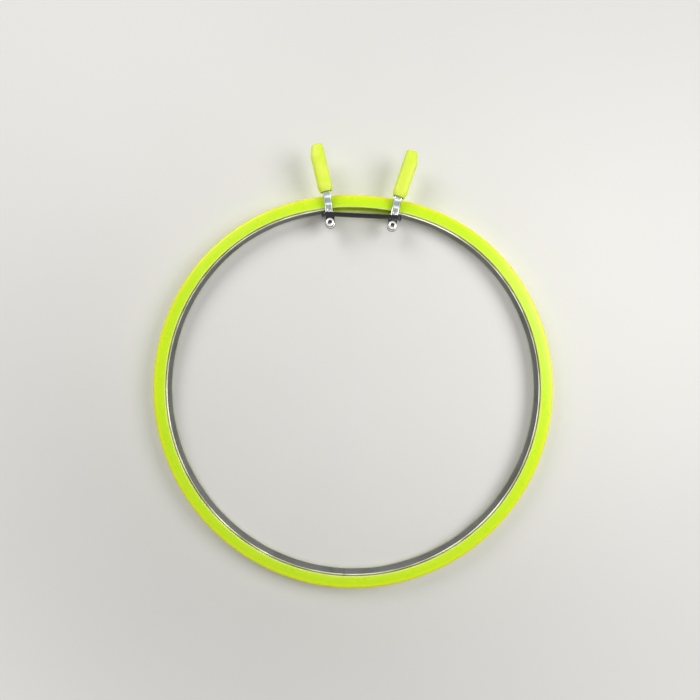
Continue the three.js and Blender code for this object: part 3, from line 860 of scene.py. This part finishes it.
SLEEVE_WIDTH = 7.8
SLEEVE_THICKNESS = 6.4
SLEEVE_LENGTH = 24.67
SLEEVE_SQUARENESS = 2.6  # 2 is an oval, and more is squarer
SLEEVE_MOUTH_SHARE = 0.82  # the mouth's share of the whole width
SLEEVE_MOUTH_LENGTH = 3.6
SLEEVE_TAPER_LENGTH = 6.0
SLEEVE_TAPER_SOFTNESS = 0.004  # how softly the taper starts, as a share of its length, squared
SLEEVE_TIP_DRAW = 1.4
SLEEVE_TIP_R = 1.3
SLEEVE_START = 1.4  # from the lever's bend to the mouth
SLEEVE_UNEVEN = 0.5  # how much later the left one starts, and how much sooner the right one
SLEEVE_LIP = 0.35
SLEEVE_LIP_POWER = 0.6  # 1 makes the lip's edge round, and less makes it blunter
SLEEVE_FIT = 0.1  # round the tongue
SLEEVE_POCKET_ROOM = 0.4  # beyond the tongue's end
SLEEVE_POCKET_SQUARENESS = 8.0
SLEEVE_WAVE = 0.05  # how far its soft sides wander
SLEEVE_LONG_WAVE = 2.9  # the length in which its long wave turns through a radian
SLEEVE_SHORT_WAVE = 1.3
SLEEVE_WAVE_START = 0.6  # radians, where the long wave starts
SLEEVE_SHORT_SHARE = 0.6  # the short wave's share of the long one's height
SLEEVE_STILL_TIP = 0.2  # the share of the taper that doesn't wander
SLEEVE_GRIME_SPREAD = 1.2  # how far from the mouth the grime reaches, as a bell curve
STEPS_ROUND_SLEEVE = 72


def sleeve_stations(pocket_depth):
    """The sleeve's sections from the end of its pocket, out over the mouth's lip and along to the tip.

    Each is a distance along, a half width, a half thickness, a middle across, and a power that sets how
    square it is. The mouth swells by a sine, the sides wander by the sum of two sines, and the tip is drawn
    in along a ramp with a soft start and ends in an arc.
    """
    half = SLEEVE_WIDTH / 2
    flat = SLEEVE_THICKNESS / SLEEVE_WIDTH
    pocket_width = ARM_WIDTH / 2 + SLEEVE_FIT
    pocket_height = (arm_top - arm_bottom) / 2 + SLEEVE_FIT
    pocket = np.array([pocket_width, pocket_height, 0.0, SLEEVE_POCKET_SQUARENESS])
    inside_y = np.array([pocket_depth, pocket_depth / 2, 2.0, 1.0, 0.6, SLEEVE_LIP])
    inside = np.column_stack([inside_y, np.tile(pocket, (len(inside_y), 1))])

    along = np.linspace(SLEEVE_LIP, SLEEVE_LENGTH - SLEEVE_TIP_R, 90)
    swell = np.sin(np.clip(along / SLEEVE_MOUTH_LENGTH, 0, 1) * np.pi / 2)
    share = SLEEVE_MOUTH_SHARE + (1 - SLEEVE_MOUTH_SHARE) * swell
    ramp = (along - SLEEVE_LENGTH + SLEEVE_TAPER_LENGTH) / (SLEEVE_TAPER_LENGTH - SLEEVE_TIP_R)
    draw = SLEEVE_TIP_DRAW / 2 * np.clip(0.5 * (ramp + np.sqrt(ramp**2 + SLEEVE_TAPER_SOFTNESS)), 0, 1)
    long_wave = np.sin(along / SLEEVE_LONG_WAVE + SLEEVE_WAVE_START)
    wave = SLEEVE_WAVE * (long_wave + SLEEVE_SHORT_SHARE * np.sin(along / SLEEVE_SHORT_WAVE))
    wave *= np.clip((SLEEVE_LENGTH - along) / SLEEVE_TAPER_LENGTH - SLEEVE_STILL_TIP, 0, 1)
    width = half * share - draw
    outside = np.column_stack([
        along,
        width + wave * swell,
        width * flat,
        -draw + 0.5 * wave,
        np.full(along.shape, SLEEVE_SQUARENESS),
    ])

    turn = np.radians(np.linspace(0, 180, 11))[1:-1, None]
    over = (1 - np.cos(turn)) / 2
    lip = inside[-1] * (1 - over) + outside[0] * over
    lip[:, :1] = SLEEVE_LIP * (1 - np.sin(turn) ** SLEEVE_LIP_POWER)

    round_off = np.radians(np.linspace(0, 90, 9))[1:]
    shrink = SLEEVE_TIP_R * (1 - np.cos(round_off))
    tip = np.tile(outside[-1], (len(round_off), 1))
    tip[:, 0] += SLEEVE_TIP_R * np.sin(round_off)
    tip[:, 1] -= shrink
    tip[:, 2] -= shrink
    return np.concatenate([inside, lip, outside, tip])


def sleeve(name, side, mouth_from_bend):
    """A sleeve: at each station a superellipse, whose radius is the sum of the powers of its cosine and sine,
    to minus one over that power. It is tilted and turned to lie along the lever's tongue."""
    depth = ARM_TONGUE / np.cos(np.radians(ARM_TILT)) - mouth_from_bend + SLEEVE_POCKET_ROOM
    along, width, thickness, middle, power = sleeve_stations(depth).T[..., None]
    angle = np.linspace(0, 2 * np.pi, STEPS_ROUND_SLEEVE, endpoint=False)[None]
    radius = (np.abs(np.cos(angle)) ** power + np.abs(np.sin(angle)) ** power) ** (-1 / power)
    x = middle + width * radius * np.cos(angle)
    z = thickness * radius * np.sin(angle)
    y = np.broadcast_to(mouth_from_bend + along, x.shape)
    tilt = np.radians(ARM_TILT)
    tilted = np.stack([x, y * np.cos(tilt) - z * np.sin(tilt), y * np.sin(tilt) + z * np.cos(tilt)], axis=2)
    bend_x, bend_y, bend_z, heading = arm_station(ARM_NECK + ARM_BEND_LENGTH)
    placed = turned_flat(tilted, heading) + (bend_x, bend_y, bend_z)
    return surface(name, on_lever(placed, side), False, {"rubbed": bell(along, SLEEVE_GRIME_SPREAD)})


def soft_moulded_pvc():
    """Plasticised PVC, dip moulded with a fluorescent dye. To the eye: satin and slightly waxy, paler than
    the hard ring, with faint lengthways runs from the dipping, soft dimples, and grime at the mouth."""
    material, place, lengths = start_material("soft_moulded_pvc")
    cloud = patches(material, place, size=6, low=0.35, high=0.65, detail=3)
    tone = add(material, "Mix", {"data_type": "RGBA", 6: "#e0f93c", 7: "#ecfc55"}, {0: cloud})
    mouth = add(material, "Attribute", {"attribute_name": "rubbed"}).outputs["Fac"]
    specks = patches(material, place, size=0.8, low=0.45, high=0.65, end=0.5, detail=3)
    grime = add(material, "Math", {"operation": "MULTIPLY"}, {0: mouth, 1: specks})
    colour = add(material, "Mix", {"data_type": "RGBA", 7: "#9fae3c"}, {0: grime, 6: tone})
    runs = grain(material, lengths, size=0.9, stretch=(14, 1, 1))
    roughness = patches(material, place, size=1.4, low=0.3, high=0.7, start=0.38, end=0.52, detail=3)
    hollows = grain(material, place, size=2.6, detail=1)
    dimples = add(material, "Bump", {"Distance": 0.05 * MM}, {"Height": hollows})
    relief = add(material, "Bump", {"Distance": 0.03 * MM}, {"Height": runs, "Normal": dimples})
    scatter = {"Subsurface Weight": 0.15, "Subsurface Scale": 0.0015, "Subsurface Radius": (1.0, 1.0, 0.2)}
    return finish_material(material, {"IOR": 1.48, **scatter}, colour, roughness, relief)


soft_pvc = soft_moulded_pvc()
for name, side in SIDES:
    grip = sleeve("sleeve_" + name, side, SLEEVE_START - side * SLEEVE_UNEVEN)
    grip.data.materials.append(soft_pvc)
    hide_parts("grip_" + name)
    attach(grip, "lever_" + name)


# The table top, the light and the camera. A plain pale table between pale walls, and three soft lamps: one at
# the upper right, a weaker one at the upper left and one high up. The camera hangs straight above the hoop, a
# little towards the clamp, and is turned so that the clamp leans clockwise in the picture.

TABLE_HALF = 2500.0  # half of its side
TABLE_DROP = 0.1  # below the ring's underside, so that the two faces don't share a plane
CAMERA_X = -2.65
CAMERA_Y = 20.62  # from the rings' middle
CAMERA_HEIGHT = 271.5  # above the table
CAMERA_TURN = 2.8  # degrees
CAMERA_LENS = 25.07
CAMERA_NEAR = 10.0  # it sees nothing closer
# Each lamp's name, place, width across and power in watts.
LAMPS = (
    ("key_lamp", (340, 100, 350), 300, 1.3),
    ("left_lamp", (-290, 300, 350), 300, 1.05),
    ("overhead_lamp", (0, -86, 700), 330, 0.7),
)
WALL_LIGHT = 0.27  # the walls' strength as a light, where 1 is how they are seen
WALL_COLOUR = "#e6e5e2"
TABLE_FADE_START = 140.0  # from the middle, where the table starts to run out into the walls' colour
TABLE_FADE_END = 330.0


def seen_directly(material):
    """1 for rays that the eye, a mirror or glass sends out, and 0 for those that light the object."""
    path = add(material, "LightPath", {}).outputs
    larger = {"operation": "MAXIMUM"}
    either = add(material, "Math", larger, {0: path["Is Camera Ray"], 1: path["Is Glossy Ray"]})
    return add(material, "Math", larger, {0: either, 1: path["Is Transmission Ray"]})


def pale_matt_laminate():
    """Matt melamine on board. To the eye: an even, warm off-white with the faintest clouds. Far from the
    hoop it turns into the walls' own colour, so that no line shows where the two meet."""
    material, place, _ = start_material("pale_matt_laminate")
    clouds = grain(material, place, size=60, detail=3)
    shade = add(material, "Mix", {"data_type": "RGBA", 6: "#e7e5e1", 7: "#ebe9e5"}, {0: clouds})
    table = add(material, "BsdfPrincipled", {"Roughness": 0.75, "IOR": 1.45}, {"Base Color": shade})
    walls = add(material, "Emission", {"Color": WALL_COLOUR})
    out = add(material, "VectorMath", {"operation": "LENGTH"}, {0: place})
    fade = {"From Min": TABLE_FADE_START * MM, "From Max": TABLE_FADE_END * MM}
    far = add(material, "MapRange", fade, {"Value": out})
    share = add(material, "Math", {"operation": "MULTIPLY"}, {0: seen_directly(material), 1: far})
    mixed = add(material, "MixShader", {}, {0: share, 1: table, 2: walls})
    add(material, "OutputMaterial", {}, {"Surface": mixed})
    return material


corner = np.array([[-1, -1, 0], [1, -1, 0], [1, 1, 0], [-1, 1, 0]]) * TABLE_HALF - (0, 0, TABLE_DROP)
table_mesh = bpy.data.meshes.new("table_top")
table_mesh.from_pydata((corner * MM).tolist(), [], [(0, 1, 2, 3)])
table_top = in_scene("table_top", table_mesh)
table_mesh.materials.append(pale_matt_laminate())

for name, place, size, power in LAMPS:
    light = bpy.data.lights.new(name, "AREA")
    light.shape = "DISK"
    light.size = size * MM
    light.energy = power
    lamp = in_scene(name, light)
    lamp.location = np.array(place) * MM
    lamp.rotation_euler = (-lamp.location).to_track_quat("-Z", "Y").to_euler()

world = bpy.data.worlds.new("pale_walls")
world.use_nodes = True
walls = world.node_tree.nodes["Background"]
walls.inputs["Color"].default_value = linear(WALL_COLOUR)
strength = add(world, "MapRange", {"To Min": WALL_LIGHT}, {"Value": seen_directly(world)})
world.node_tree.links.new(strength.outputs["Result"], walls.inputs["Strength"])
bpy.context.scene.world = world
bpy.context.scene.view_settings.view_transform = "Standard"

camera_data = bpy.data.cameras.new("camera")
camera_data.lens = CAMERA_LENS
camera_data.clip_start = CAMERA_NEAR * MM
camera = in_scene("camera", camera_data)
camera.location = np.array([CAMERA_X, ring_y + CAMERA_Y, CAMERA_HEIGHT]) * MM
camera.rotation_euler = (0, 0, np.radians(CAMERA_TURN))
bpy.context.scene.camera = camera
